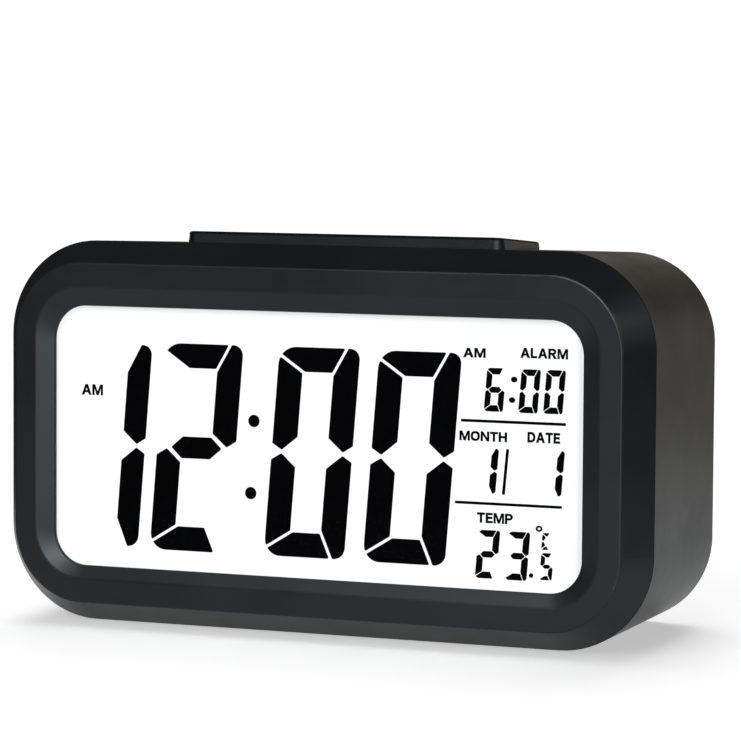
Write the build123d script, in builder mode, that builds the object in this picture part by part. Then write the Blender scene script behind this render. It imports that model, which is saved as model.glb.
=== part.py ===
from build123d import *
import math
import os

# Small black desk alarm clock: a bevelled front frame with a dished window surround, a drafted rear
# case, a wide press bar on top, keys, a slide switch and a battery hatch on the back, and the display,
# boards, cells and sounder inside.  Millimetres, +Z up, front towards -Y, origin at the middle of the
# footprint.  The case walls are drafted, so the clock stands level on its drafted underside and leans back a
# little; every sketch is placed on planes of the leaning case (x across, y deep, z tall).

# ---------------------------------------------------------------- driving dimensions
width, height, depth = 135.0, 75.0, 45.0      # case at its widest outline, and front to back
bevel_depth, bevel_inset = 6.8, 4.2           # outer bevel of the front frame
corner_r = 18.7                               # outer corner radius at the parting line
draft, side_draft = 1.45, 1.0                 # inset of the back outline above and below, and at the sides
wall = 2.2                                    # case wall
rim_half, rim_low, rim_high, rim_r = 58.8, 8.85, 66.1, 9.7        # inner edge of the flat rim
win_half, win_low, win_high, win_r = 55.15, 11.35, 62.4, 6.6      # window opening
dish = 1.4                                    # depth of the dished surround
plate, lens_y = 2.6, 2.0                      # thickness of the frame's front plate, depth of the window's clear sheet
bar_half, bar_front, bar_back, bar_corner = 33.5, 14.4, 36.9, 2.35  # press bar outline
bar_top_front, bar_top_back = 77.0, 75.4      # its top face, sloping to the back
bar_travel = 1.0
key_xs = (-42.0, -25.0, -8.0, 9.0)            # back keys
key_z, key_r, key_stand = 56.0, 3.6, 0.7
switch_x = 36.0
cell_r, cell_len, nub_len = 5.2, 43.3, 0.9    # size AAA cell
cell_y, cell_zs = 37.0, (13.75, 24.65, 35.55)
screw_x, screw_zs = 61.6, (20.0, 55.0)        # case screws
depth_centre = 24.04                          # middle of the footprint in the case's own depth
pad_stand, pad_sink, pad_r = 0.35, 0.5, 3.5   # thin non-slip pads let into the underside
pad_spots = [(sx * 42.0, y) for sx in (-1, 1) for y in (-11.0, 14.0)]

mid_z = height / 2
bar_mid = (bar_front + bar_back) / 2
lean = math.atan2(draft, depth - bevel_depth)
sl, cl = math.sin(lean), math.cos(lean)
rise = bevel_depth * sl + pad_stand           # brings the drafted underside level, on its pads


def tilt(x, y, z):
    """Case coordinates to the standing frame."""
    return Vector(x, y * cl + z * sl - depth_centre, -y * sl + z * cl + rise)


def at_depth(y):
    """Plane facing the front at depth y: sketch axes are across and tall."""
    return Plane(origin=tilt(0, y, 0), x_dir=(1, 0, 0), z_dir=(0, -cl, sl))


def at_level(z):
    """Plane facing up at height z: sketch axes are across and deep."""
    return Plane(origin=tilt(0, 0, z), x_dir=(1, 0, 0), z_dir=(0, sl, cl))


def at_side(x):
    """Plane facing right at x: sketch axes are deep and tall."""
    return Plane(origin=tilt(x, 0, 0), x_dir=(0, cl, -sl), z_dir=(1, 0, 0))


DEEP = Axis(tilt(0, 0, 0), (0, cl, -sl))      # front to back of the case
TALL = Axis(tilt(0, 0, 0), (0, sl, cl))       # bottom to top of the case


def inset_at(y):
    """How far the drafted outer wall has come in at depth y."""
    return draft * (y - bevel_depth) / (depth - bevel_depth)


def depth_of(edge):
    """Depth of an edge's middle in the case."""
    p = edge.center()
    return (p.Y + depth_centre) * cl - (p.Z - rise) * sl


screw_spots = [(sx * screw_x, z) for sx in (-1, 1) for z in screw_zs]
pcb_spots = [(-44.0, 5.2), (44.0, 5.2), (-44.0, 68.4), (44.0, 68.4)]

# ---------------------------------------------------------------- front frame
with BuildPart() as front_bezel:
    with BuildSketch(at_depth(0)):
        with Locations((0, mid_z)):
            RectangleRounded(width - 2 * bevel_inset, height - 2 * bevel_inset, corner_r - bevel_inset)
    with BuildSketch(at_depth(bevel_depth)):
        with Locations((0, mid_z)):
            RectangleRounded(width, height, corner_r)
    loft(ruled=True)
    # soft edge on the ridge, broken edge at the parting line
    fillet(front_bezel.faces().sort_by(DEEP)[0].edges(), 0.5)
    chamfer(front_bezel.faces().sort_by(DEEP)[-1].edges(), 0.12)
    # hollow behind the front plate
    with BuildSketch(at_depth(plate)):
        with Locations((0, mid_z)):
            RectangleRounded(width - 10.4, height - 10.4, corner_r - 5.2)
    with BuildSketch(at_depth(bevel_depth)):
        with Locations((0, mid_z)):
            RectangleRounded(width - 4.8, height - 4.8, corner_r - 2.4)
    loft(ruled=True, mode=Mode.SUBTRACT)
    # dished surround and window
    with BuildSketch(at_depth(0)):
        with Locations((0, (rim_low + rim_high) / 2)):
            RectangleRounded(2 * rim_half, rim_high - rim_low, rim_r)
    with BuildSketch(at_depth(dish)):
        with Locations((0, (win_low + win_high) / 2)):
            RectangleRounded(2 * win_half, win_high - win_low, win_r)
    loft(ruled=True, mode=Mode.SUBTRACT)
    with BuildSketch(at_depth(dish)):
        with Locations((0, (win_low + win_high) / 2)):
            RectangleRounded(2 * win_half, win_high - win_low, win_r)
    extrude(amount=-2.0, mode=Mode.SUBTRACT)
    # soft edges on the rim and the window
    fillet(front_bezel.faces().sort_by(DEEP)[0].inner_wires()[0].edges(), 1.2)
    lips = front_bezel.edges().filter_by(lambda e: abs(depth_of(e) - dish) < 0.01)
    fillet(lips, 0.3)
    # rebate that the clear sheet is bonded into
    with BuildSketch(at_depth(lens_y)):
        with Locations((0, 37.0)):
            RectangleRounded(114.8, 55.8, 4.2)
    extrude(amount=-(plate - lens_y + 0.3), mode=Mode.SUBTRACT)
    # tongue that locates inside the rear case
    with BuildSketch(at_depth(bevel_depth - 2.8)):
        with Locations((0, mid_z)):
            RectangleRounded(width - 5.0, height - 5.0, corner_r - 2.5)
            RectangleRounded(width - 7.8, height - 7.8, corner_r - 3.9, mode=Mode.SUBTRACT)
    extrude(amount=-5.2)
    # bosses for the case screws and for the display board
    with BuildSketch(at_depth(plate - 0.4)):
        with Locations(*screw_spots):
            Circle(3.0)
    extrude(amount=-(18.0 - plate + 0.4))
    with BuildSketch(at_depth(plate - 0.4)):
        with Locations(*pcb_spots):
            Circle(2.1)
    extrude(amount=-(9.7 - plate + 0.4))
    with BuildSketch(at_depth(7.0)):
        with Locations(*screw_spots):
            Circle(1.35)
    extrude(amount=-12.0, mode=Mode.SUBTRACT)
    with BuildSketch(at_depth(4.2)):
        with Locations(*pcb_spots):
            Circle(1.0)
    extrude(amount=-6.0, mode=Mode.SUBTRACT)
front_bezel.part.label = "front_bezel"

# ---------------------------------------------------------------- rear case
cover_half, cover_low, cover_high = 26.3, 7.0, 43.0     # battery hatch
tab_xs, tab_half = (-16.0, 16.0), 4.0
with BuildPart() as rear_case:
    with BuildSketch(at_depth(bevel_depth)):
        with Locations((0, mid_z)):
            RectangleRounded(width, height, corner_r)
    with BuildSketch(at_depth(depth)):
        with Locations((0, mid_z)):
            RectangleRounded(width - 2 * side_draft, height - 2 * draft, corner_r - draft)
    loft(ruled=True)
    fillet(rear_case.faces().sort_by(DEEP)[-1].edges(), 0.8)
    # fine step at the parting line
    with BuildSketch(at_depth(bevel_depth)):
        with Locations((0, mid_z)):
            RectangleRounded(width + 4, height + 4, corner_r + 2)
            RectangleRounded(width - 0.24, height - 0.24, corner_r - 0.12, mode=Mode.SUBTRACT)
    extrude(amount=-0.12, mode=Mode.SUBTRACT)
    inner_in = wall + inset_at(depth - wall)
    inner_side = wall + inset_at(depth - wall) * side_draft / draft
    with BuildSketch(at_depth(bevel_depth)):
        with Locations((0, mid_z)):
            RectangleRounded(width - 2 * wall, height - 2 * wall, corner_r - wall)
    with BuildSketch(at_depth(depth - wall)):
        with Locations((0, mid_z)):
            RectangleRounded(width - 2 * inner_side, height - 2 * inner_in, corner_r - inner_in)
    loft(ruled=True, mode=Mode.SUBTRACT)
    # screw posts that carry the case screws
    with BuildSketch(at_depth(18.0)):
        with Locations(*screw_spots):
            Circle(3.5)
    extrude(amount=-(depth - 1.0 - 18.0))
    with BuildSketch(at_depth(17.0)):
        with Locations(*screw_spots):
            Circle(1.5)
    extrude(amount=-5.0, mode=Mode.SUBTRACT)
    with BuildSketch(at_depth(20.5)):
        with Locations(*screw_spots):
            Circle(2.7)
    extrude(amount=-26.0, mode=Mode.SUBTRACT)
    # battery well
    with BuildSketch(at_depth(29.7)):
        with Locations((0, 25.0)):
            Rectangle(53.0, 36.4)
    extrude(amount=-13.3)
    with BuildSketch(at_depth(31.2)):
        with Locations((0, 25.0)):
            Rectangle(50.0, 33.4)
    extrude(amount=-14.0, mode=Mode.SUBTRACT)
    with BuildSketch(at_depth(43.0)):
        with Locations((0, 25.0)):
            RectangleRounded(53.0, 36.4, 1.2)
    extrude(amount=-3.0, mode=Mode.SUBTRACT)
    with BuildSketch(at_depth(39.6)):                     # notches for the hatch tabs
        with Locations(*[(x, 7.5) for x in tab_xs]):
            Rectangle(2 * tab_half + 0.8, 1.8)
    extrude(amount=-3.5, mode=Mode.SUBTRACT)
    with BuildSketch(at_depth(42.0)):                     # thumb recess over the hatch latch
        with Locations((0, 43.2)):
            SlotOverall(15.0, 7.0)
    extrude(amount=-4.0, mode=Mode.SUBTRACT)
    with BuildSketch(at_depth(42.2)):
        with Locations((0, 46.2)):
            Rectangle(17.0, 6.4)
    extrude(amount=-1.3)
    # opening for the press bar
    with BuildSketch(at_level(70.0)):
        with Locations((0, (bar_front + bar_back) / 2)):
            RectangleRounded(2 * bar_half + 0.7, bar_back - bar_front + 0.7, bar_corner + 0.35)
    extrude(amount=8.0, mode=Mode.SUBTRACT)
    # hanging bosses for the bracket under the press bar
    with BuildSketch(at_level(62.0)):
        with Locations((-40.5, bar_mid), (40.5, bar_mid)):
            Circle(2.75)
    extrude(amount=11.5)
    with BuildSketch(at_level(61.0)):
        with Locations((-40.5, bar_mid), (40.5, bar_mid)):
            Circle(1.1)
    extrude(amount=8.0, mode=Mode.SUBTRACT)
    # key holes, switch slot, bosses for the key board
    with BuildSketch(at_depth(40.0)):
        with Locations(*[(x, key_z) for x in key_xs]):
            Circle(key_r + 0.2)
        with Locations((switch_x, key_z)):
            RectangleRounded(10.4, 5.2, 1.2)
    extrude(amount=-8.0, mode=Mode.SUBTRACT)
    with BuildSketch(at_depth(36.2)):
        with Locations((-33.5, key_z), (0.5, key_z), (50.0, key_z)):
            Circle(2.5)
    extrude(amount=-7.0)
    with BuildSketch(at_depth(35.5)):
        with Locations((-33.5, key_z), (0.5, key_z), (50.0, key_z)):
            Circle(1.1)
    extrude(amount=-6.0, mode=Mode.SUBTRACT)
    # sounder ring and sound holes
    with BuildSketch(at_depth(39.0)):
        with Locations((-44.0, 28.0)):
            Circle(13.2)
            Circle(11.6, mode=Mode.SUBTRACT)
    extrude(amount=-4.2)
    with BuildSketch(at_depth(42.0)):
        with Locations((-44.0, 28.0)):
            Circle(0.95)
            with PolarLocations(3.6, 6):
                Circle(0.95)
            with PolarLocations(7.0, 12):
                Circle(0.95)
    extrude(amount=-4.0, mode=Mode.SUBTRACT)
    # vent slots beside the temperature sensor
    with BuildSketch(at_depth(42.0)):
        with Locations(*[(44.0, 21.0 + 3.5 * k) for k in range(5)]):
            SlotOverall(15.0, 1.5)
    extrude(amount=-4.0, mode=Mode.SUBTRACT)
    # shallow pockets for the non-slip pads
    with BuildSketch(Plane.XY.offset(pad_stand - 0.2)):
        with Locations(*pad_spots):
            Circle(pad_r + 0.15)
    extrude(amount=pad_sink + 0.2, mode=Mode.SUBTRACT)
rear_case.part.label = "rear_case"

with BuildPart() as base_pads:
    with BuildSketch(Plane.XY):
        with Locations(*pad_spots):
            Circle(pad_r)
    extrude(amount=pad_stand + pad_sink)
    chamfer(base_pads.edges().filter_by(GeomType.CIRCLE).group_by(Axis.Z)[0], 0.12)
base_pads.part.label = "base_pads"

# ---------------------------------------------------------------- display stack
with BuildPart() as display_lens:
    with BuildSketch(at_depth(lens_y)):
        with Locations((0, 37.0)):
            RectangleRounded(114.4, 55.4, 4.0)
    extrude(amount=-1.2)
display_lens.part.label = "display_lens"

with BuildPart() as lcd_front_glass:
    with BuildSketch(at_depth(4.0)):
        with Locations((0, (8.6 + 64.4) / 2)):
            Rectangle(113.6, 55.8)
    extrude(amount=-1.1)
lcd_front_glass.part.label = "lcd_front_glass"

with BuildPart() as lcd_rear_glass:
    with BuildSketch(at_depth(5.1)):
        with Locations((0, (11.2 + 64.4) / 2)):
            Rectangle(113.6, 53.2)
    extrude(amount=-1.1)
lcd_rear_glass.part.label = "lcd_rear_glass"

with BuildPart() as light_guide:
    with BuildSketch(at_depth(6.4)):
        with Locations((0, (11.4 + 64.4) / 2)):
            RectangleRounded(109.0, 53.0, 1.0)
    extrude(amount=-2.6)
light_guide.part.label = "light_guide"

with BuildPart() as reflector_sheet:
    with BuildSketch(at_depth(9.05)):
        with Locations((0, (11.4 + 64.4) / 2)):
            Rectangle(109.0, 53.0)
    extrude(amount=-0.3)
reflector_sheet.part.label = "reflector_sheet"

with BuildPart() as lcd_frame:
    with BuildSketch(at_depth(3.9)):
        with Locations((0, (7.4 + 66.0) / 2)):
            RectangleRounded(116.6, 58.6, 2.0)
            Rectangle(114.0, 56.4, mode=Mode.SUBTRACT)
    extrude(amount=-5.8)
    # cross bar between the connector strip and the light guide
    with BuildSketch(at_depth(6.4)):
        with Locations((0, 11.2)):
            Rectangle(114.6, 0.3)
    extrude(amount=-3.2)
lcd_frame.part.label = "lcd_frame"

with BuildPart() as connector_strip:
    with BuildSketch(at_depth(5.1)):
        with Locations((0, 9.85)):
            Rectangle(108.0, 2.2)
    extrude(amount=-4.6)
connector_strip.part.label = "connector_strip"

with BuildPart() as backlight_leds:
    with BuildSketch(at_depth(6.9)):
        with Locations(*[(sx * 55.7, z) for sx in (-1, 1) for z in (26.0, 50.0)]):
            Rectangle(1.6, 4.0)
    extrude(amount=-2.8)
backlight_leds.part.label = "backlight_leds"

with BuildPart() as main_pcb:
    with BuildSketch(at_depth(9.7)):
        with Locations((0, (3.4 + 70.6) / 2)):
            RectangleRounded(115.6, 67.2, 11.0)
        with Locations(*pcb_spots):
            Circle(1.15, mode=Mode.SUBTRACT)
    extrude(amount=-1.2)
main_pcb.part.label = "main_pcb"

with BuildPart() as chip_blob:
    with BuildSketch(at_side(0)):
        with BuildLine():
            Line((10.9, 40.0), (13.1, 40.0))
            ThreePointArc((13.1, 40.0), (12.5, 44.6), (10.9, 47.0))
            Line((10.9, 47.0), (10.9, 40.0))
        make_face()
    revolve(axis=Axis(tilt(0, 0, 40.0), (0, cl, -sl)))
chip_blob.part.label = "chip_blob"

with BuildPart() as quartz_crystal:
    with BuildSketch(at_level(30.0)):
        with Locations((18.0, 12.1)):
            Circle(1.1)
    extrude(amount=6.5)
    fillet(quartz_crystal.edges().filter_by(GeomType.CIRCLE).sort_by(TALL)[-1], 0.4)
quartz_crystal.part.label = "quartz_crystal"

with BuildPart() as capacitors:
    with BuildSketch(at_depth(10.9)):
        with Locations((-22.0, 22.0), (-29.0, 22.0)):
            Circle(2.5)
    extrude(amount=-6.5)
    fillet(capacitors.faces().filter_by(GeomType.PLANE).group_by(DEEP)[-1].edges(), 0.5)
capacitors.part.label = "capacitors"

with BuildPart() as thermistor:
    with BuildSketch(at_depth(10.9)):
        with Locations((42.8, 28.0), (45.2, 28.0)):
            Circle(0.3)
    extrude(amount=-25.5)
    with BuildSketch(at_depth(36.0)):
        with Locations((44.0, 28.0)):
            SlotOverall(4.4, 2.6)
    extrude(amount=-3.6)
    fillet(thermistor.faces().filter_by(GeomType.PLANE).sort_by(DEEP)[-1].edges(), 0.6)
thermistor.part.label = "thermistor"


# ---------------------------------------------------------------- fasteners
def screw_profile(seat, head_r, head_h, shank_r, length):
    """Half profile of a pan-head screw; the seat is where the head meets the work."""
    return [(0, seat - length), (shank_r * 0.35, seat - length), (shank_r, seat - length + shank_r),
            (shank_r, seat), (head_r, seat), (head_r, seat + head_h * 0.45), (head_r * 0.72, seat + head_h),
            (0, seat + head_h)]


def cross(size):
    """Sizes of the two slots of a cross recess."""
    return [(size, size * 0.26), (size * 0.26, size)]


with BuildPart() as case_screws:
    for sx, sz in screw_spots:
        with BuildSketch(Plane(origin=tilt(sx, 0, sz), x_dir=(1, 0, 0), z_dir=(0, sl, cl))):
            with BuildLine():
                Polyline(*screw_profile(20.5, 2.4, 1.8, 1.3, 12.0), close=True)
            make_face()
        revolve(axis=Axis(tilt(sx, 0, sz), (0, cl, -sl)))
    with BuildSketch(at_depth(21.3)):
        with Locations(*screw_spots):
            for a, b in cross(2.6):
                Rectangle(a, b)
    extrude(amount=-2.0, mode=Mode.SUBTRACT)
case_screws.part.label = "case_screws"

with BuildPart() as pcb_screws:
    for sx, sz in pcb_spots:
        with BuildSketch(Plane(origin=tilt(sx, 0, sz), x_dir=(1, 0, 0), z_dir=(0, sl, cl))):
            with BuildLine():
                Polyline(*screw_profile(10.9, 1.9, 1.3, 0.95, 6.0), close=True)
            make_face()
        revolve(axis=Axis(tilt(sx, 0, sz), (0, cl, -sl)))
    with BuildSketch(at_depth(11.5)):
        with Locations(*pcb_spots):
            for a, b in cross(1.9):
                Rectangle(a, b)
    extrude(amount=-2.0, mode=Mode.SUBTRACT)
pcb_screws.part.label = "pcb_screws"

# ---------------------------------------------------------------- press bar and what it works
def ceiling(y):
    """Inner face of the case's top wall at depth y."""
    return height - wall - inset_at(y)


with BuildPart() as snooze_bar:
    for level, tall, slant in ((69.6, 4.9, 0), (74.5, 4.0, 8)):    # straight in its opening, drafted above it
        with BuildSketch(at_level(level)):
            with Locations((0, bar_mid)):
                RectangleRounded(2 * bar_half, bar_back - bar_front, bar_corner)
        extrude(amount=tall, taper=slant)
    slope = (bar_top_front - bar_top_back) / (bar_back - bar_front)
    with BuildSketch(at_side(-bar_half - 1)):
        with BuildLine():
            Polyline((bar_front - 1, bar_top_front + slope), (bar_back + 1, bar_top_back - slope),
                     (bar_back + 1, 80), (bar_front - 1, 80), close=True)
        make_face()
    extrude(amount=2 * bar_half + 2, mode=Mode.SUBTRACT)
    fillet(snooze_bar.faces().sort_by(TALL)[-1].edges(), 0.6)
    # flange that keeps the bar in the case
    with BuildSketch(at_side(-bar_half - 1.4)):
        with BuildLine():
            Polyline((bar_front - 1.4, 69.6), (bar_back + 1.4, 69.6),
                     (bar_back + 1.4, ceiling(bar_back + 1.4) - 0.25), (bar_front - 1.4, ceiling(bar_front - 1.4) - 0.25), close=True)
        make_face()
    extrude(amount=2 * bar_half + 2.8)
    # hollow underside
    with BuildSketch(at_level(69.6)):
        with Locations((0, bar_mid)):
            RectangleRounded(2 * bar_half - 3.6, bar_back - bar_front - 3.6, 1.0)
    extrude(amount=4.4, mode=Mode.SUBTRACT)
    # spring posts, cross ribs and the centre post over the switch
    with BuildSketch(at_level(69.6)):
        with Locations((-22.0, bar_mid), (22.0, bar_mid)):
            Circle(3.2)
        with Locations((-11.0, bar_mid), (11.0, bar_mid)):
            Rectangle(1.2, bar_back - bar_front - 3.0)
    extrude(amount=4.6)
    with BuildSketch(at_level(68.2)):
        with Locations((0, bar_mid)):
            Circle(2.6)
    extrude(amount=6.0)
snooze_bar.part.label = "snooze_bar"

with BuildPart() as snooze_plunger:
    with BuildSketch(at_level(65.3)):
        with Locations((0, bar_mid)):
            Circle(1.7)
    extrude(amount=2.9)
snooze_plunger.part.label = "snooze_plunger"

with BuildPart() as snooze_switch:
    with BuildSketch(at_level(63.2)):
        with Locations((0, bar_mid)):
            Rectangle(6.0, 6.0)
    extrude(amount=3.5)
    with BuildSketch(at_level(64.1)):
        with Locations((0, bar_mid)):
            Circle(1.85)
    extrude(amount=4.0, mode=Mode.SUBTRACT)
snooze_switch.part.label = "snooze_switch"

with BuildPart() as snooze_board:
    with BuildSketch(at_level(62.0)):
        with Locations((0, bar_mid)):
            RectangleRounded(24.0, 13.0, 0.8)
    extrude(amount=1.2)
snooze_board.part.label = "snooze_board"

with BuildPart() as snooze_bracket:
    with BuildSketch(at_level(60.4)):
        with Locations((0, bar_mid)):
            RectangleRounded(88.0, 14.0, 3.0)
        with Locations((-40.5, bar_mid), (40.5, bar_mid)):
            Circle(1.25, mode=Mode.SUBTRACT)
    extrude(amount=1.6)
    with BuildSketch(at_level(62.0)):
        with Locations((-22.0, bar_mid), (22.0, bar_mid)):
            Circle(3.9)
            Circle(3.0, mode=Mode.SUBTRACT)
        with Locations((-12.8, bar_mid), (12.8, bar_mid)):
            Rectangle(1.2, 12.0)
    extrude(amount=1.4)
snooze_bracket.part.label = "snooze_bracket"

with BuildPart() as bracket_screws:
    for sx in (-40.5, 40.5):
        with BuildSketch(Plane(origin=tilt(sx, bar_mid, 0), x_dir=(1, 0, 0), z_dir=(0, -cl, sl))):
            with BuildLine():
                Polyline((0, 67.5), (0.4, 67.5), (1.0, 66.5), (1.0, 60.4), (2.0, 60.4), (2.0, 59.7), (1.4, 59.0), (0, 59.0), close=True)
            make_face()
        revolve(axis=Axis(tilt(sx, bar_mid, 0), (0, sl, cl)))
    with BuildSketch(at_level(59.6)):
        with Locations((-40.5, bar_mid), (40.5, bar_mid)):
            for a, b in cross(2.0):
                Rectangle(a, b)
    extrude(amount=-2.0, mode=Mode.SUBTRACT)
bracket_screws.part.label = "bracket_screws"

with BuildPart() as snooze_springs:
    for sx in (-22.0, 22.0):
        with BuildLine() as coil:
            Helix(pitch=1.42, height=7.1, radius=2.3, center=tilt(sx, bar_mid, 62.25), direction=(0, sl, cl))
        with BuildSketch(Plane(origin=coil.line @ 0, z_dir=coil.line % 0)):
            Circle(0.22)
        sweep(path=coil.line, is_frenet=True)
snooze_springs.part.label = "snooze_springs"

# ---------------------------------------------------------------- back keys and slide switch
with BuildPart() as button_board:
    with BuildSketch(at_depth(35.0)):
        with Locations((1.0, key_z)):
            RectangleRounded(106.0, 11.0, 1.0)
        with Locations((-33.5, key_z), (0.5, key_z), (50.0, key_z)):
            Circle(1.25, mode=Mode.SUBTRACT)
    extrude(amount=-1.2)
button_board.part.label = "button_board"

board_spots = [(-33.5, key_z), (0.5, key_z), (50.0, key_z)]
with BuildPart() as board_screws:
    for sx, sz in board_spots:
        with BuildSketch(Plane(origin=tilt(sx, 0, sz), x_dir=(1, 0, 0), z_dir=(0, sl, cl))):
            with BuildLine():
                Polyline((0, 41.0), (0.4, 41.0), (1.0, 40.0), (1.0, 35.0), (2.0, 35.0), (2.0, 34.3), (1.4, 33.6), (0, 33.6), close=True)
            make_face()
        revolve(axis=Axis(tilt(sx, 0, sz), (0, cl, -sl)))
    with BuildSketch(at_depth(34.2)):
        with Locations(*board_spots):
            for a, b in cross(2.0):
                Rectangle(a, b)
    extrude(amount=2.0, mode=Mode.SUBTRACT)
board_screws.part.label = "board_screws"

with BuildPart() as key_switches:
    with BuildSketch(at_depth(36.2)):
        with Locations(*[(x, key_z) for x in key_xs]):
            Rectangle(6.0, 6.0)
    extrude(amount=-3.5)
    with BuildSketch(at_depth(37.3)):
        with Locations(*[(x, key_z) for x in key_xs]):
            Circle(1.85)
    extrude(amount=-4.0, mode=Mode.SUBTRACT)
key_switches.part.label = "key_switches"

os.makedirs("parts", exist_ok=True)
key_names = ("set", "up", "down", "alarm")
for key_name, kx in zip(key_names, key_xs):
    with BuildPart() as key:
        with BuildSketch(at_depth(41.1)):
            with Locations((kx, key_z)):
                Circle(4.6)
        extrude(amount=-1.5)
        with BuildSketch(at_depth(42.0)):
            with Locations((kx, key_z)):
                Circle(key_r)
        extrude(amount=-(depth + key_stand - 42.0))
        fillet(key.faces().filter_by(GeomType.PLANE).sort_by(DEEP)[-1].edges(), 0.5)
        if key_name in ("up", "down"):        # engraved plus and minus
            with BuildSketch(at_depth(depth + key_stand - 0.25)):
                with Locations((kx, key_z)):
                    Rectangle(3.0, 0.6)
                    if key_name == "up":
                        Rectangle(0.6, 3.0)
            extrude(amount=-2.0, mode=Mode.SUBTRACT)
    key.part.label = "button_" + key_name
    export_step(key.part, "parts/button_" + key_name + ".step")
    with BuildPart() as plunger:
        with BuildSketch(at_depth(38.4)):
            with Locations((kx, key_z)):
                Circle(1.7)
        extrude(amount=-2.7)
    plunger.part.label = "plunger_" + key_name
    export_step(plunger.part, "parts/plunger_" + key_name + ".step")

with BuildPart() as slide_switch:
    with BuildSketch(at_depth(36.2)):
        with Locations((switch_x, key_z)):
            Rectangle(12.0, 5.6)
    extrude(amount=-4.0)
    with BuildSketch(at_depth(37.6)):
        with Locations((switch_x, key_z)):
            Rectangle(7.0, 2.4)
    extrude(amount=-4.0, mode=Mode.SUBTRACT)
slide_switch.part.label = "slide_switch"

with BuildPart() as switch_lever:
    with BuildSketch(at_depth(38.0)):
        with Locations((switch_x - 2.0, key_z)):
            Rectangle(2.2, 2.0)
    extrude(amount=-3.3)
switch_lever.part.label = "switch_lever"

with BuildPart() as switch_knob:
    with BuildSketch(at_depth(41.3)):
        with Locations((switch_x - 2.0, key_z)):
            RectangleRounded(17.0, 8.4, 0.8)
    extrude(amount=-1.2)
    with BuildSketch(at_depth(42.0)):
        with Locations((switch_x - 2.0, key_z)):
            RectangleRounded(5.6, 4.7, 0.8)
    extrude(amount=-(depth + 0.4 - 42.0))
    with BuildSketch(at_depth(depth - 0.1)):              # grip grooves
        with Locations(*[(switch_x - 2.0 + dx, key_z) for dx in (-1.5, 0, 1.5)]):
            Rectangle(0.6, 8.0)
    extrude(amount=-2.0, mode=Mode.SUBTRACT)
switch_knob.part.label = "switch_knob"

# ---------------------------------------------------------------- battery hatch, cells and contacts
with BuildPart() as battery_cover:
    with BuildSketch(at_depth(43.1)):
        with Locations((0, (cover_low + cover_high) / 2)):
            RectangleRounded(2 * cover_half, cover_high - cover_low, 1.0)
    extrude(amount=-1.9)
    # latch tongue between two slits, with grip grooves
    with BuildSketch(at_depth(42.0)):
        with Locations((-6.4, 39.6), (6.4, 39.6)):
            Rectangle(0.8, 7.2)
    extrude(amount=-5.0, mode=Mode.SUBTRACT)
    with BuildSketch(at_depth(depth - 0.45)):
        with Locations(*[(0, z) for z in (37.4, 38.8, 40.2)]):
            SlotOverall(8.4, 0.7)
    extrude(amount=-2.0, mode=Mode.SUBTRACT)
    # hinge tabs that reach under the lower edge of the opening
    with BuildSketch(at_depth(40.9)):
        with Locations(*[(x, 7.2) for x in tab_xs]):
            Rectangle(2 * tab_half, 4.0)
    extrude(amount=-1.6)
    with BuildSketch(at_depth(42.2)):
        with Locations(*[(x, 8.1) for x in tab_xs]):
            Rectangle(2 * tab_half, 2.2)
    extrude(amount=-1.4)
    # ribs that hold the cells down
    with BuildSketch(at_depth(42.4)):
        with Locations((-12.0, 25.0), (12.0, 25.0)):
            Rectangle(1.2, 26.0)
    extrude(amount=-1.2)
battery_cover.part.label = "battery_cover"

for k, cz in enumerate(cell_zs):
    way = 1 if k % 2 == 0 else -1                         # the cells lie head to tail
    start = -way * (24.6 - 0.0 - (49.2 - cell_len - nub_len))
    with BuildPart() as cell:
        with BuildSketch(Plane(origin=tilt(start, cell_y, cz), x_dir=(0, cl, -sl), z_dir=(way, 0, 0))):
            Circle(cell_r)
        extrude(amount=cell_len)
        fillet(cell.edges().filter_by(GeomType.CIRCLE), 0.5)
        with BuildSketch(Plane(origin=tilt(start + way * (cell_len - 0.2), cell_y, cz), x_dir=(0, cl, -sl), z_dir=(way, 0, 0))):
            Circle(1.9)
        extrude(amount=nub_len + 0.2)
    cell.part.label = f"cell_{k + 1}"
    export_step(cell.part, f"parts/cell_{k + 1}.step")

with BuildPart() as contact_plates:
    for k, cz in enumerate(cell_zs):
        for side in (-1, 1):
            with BuildSketch(at_side(side * 24.8 - 0.2)):
                with Locations((cell_y, cz)):
                    RectangleRounded(9.4, 9.4, 1.0)
            extrude(amount=0.4)
contact_plates.part.label = "contact_plates"

spring_room = 49.2 - cell_len - nub_len
with BuildPart() as contact_springs:
    for k, cz in enumerate(cell_zs):
        way = 1 if k % 2 == 0 else -1
        with BuildLine() as coil:
            Helix(pitch=1.35, height=spring_room - 0.66, radius=3.4, center=tilt(-way * (24.6 - 0.33), cell_y, cz),
                  direction=(way, 0, 0), cone_angle=-18)
        with BuildSketch(Plane(origin=coil.line @ 0, z_dir=coil.line % 0)):
            Circle(0.28)
        sweep(path=coil.line, is_frenet=True)
contact_springs.part.label = "contact_springs"

# ---------------------------------------------------------------- sounder and leads
with BuildPart() as piezo_plate:
    with BuildSketch(at_depth(38.7)):
        with Locations((-44.0, 28.0)):
            Circle(13.0)
    extrude(amount=-0.3)
piezo_plate.part.label = "piezo_plate"

with BuildPart() as piezo_ceramic:
    with BuildSketch(at_depth(38.4)):
        with Locations((-44.0, 28.0)):
            Circle(9.8)
    extrude(amount=-0.3)
piezo_ceramic.part.label = "piezo_ceramic"

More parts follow.
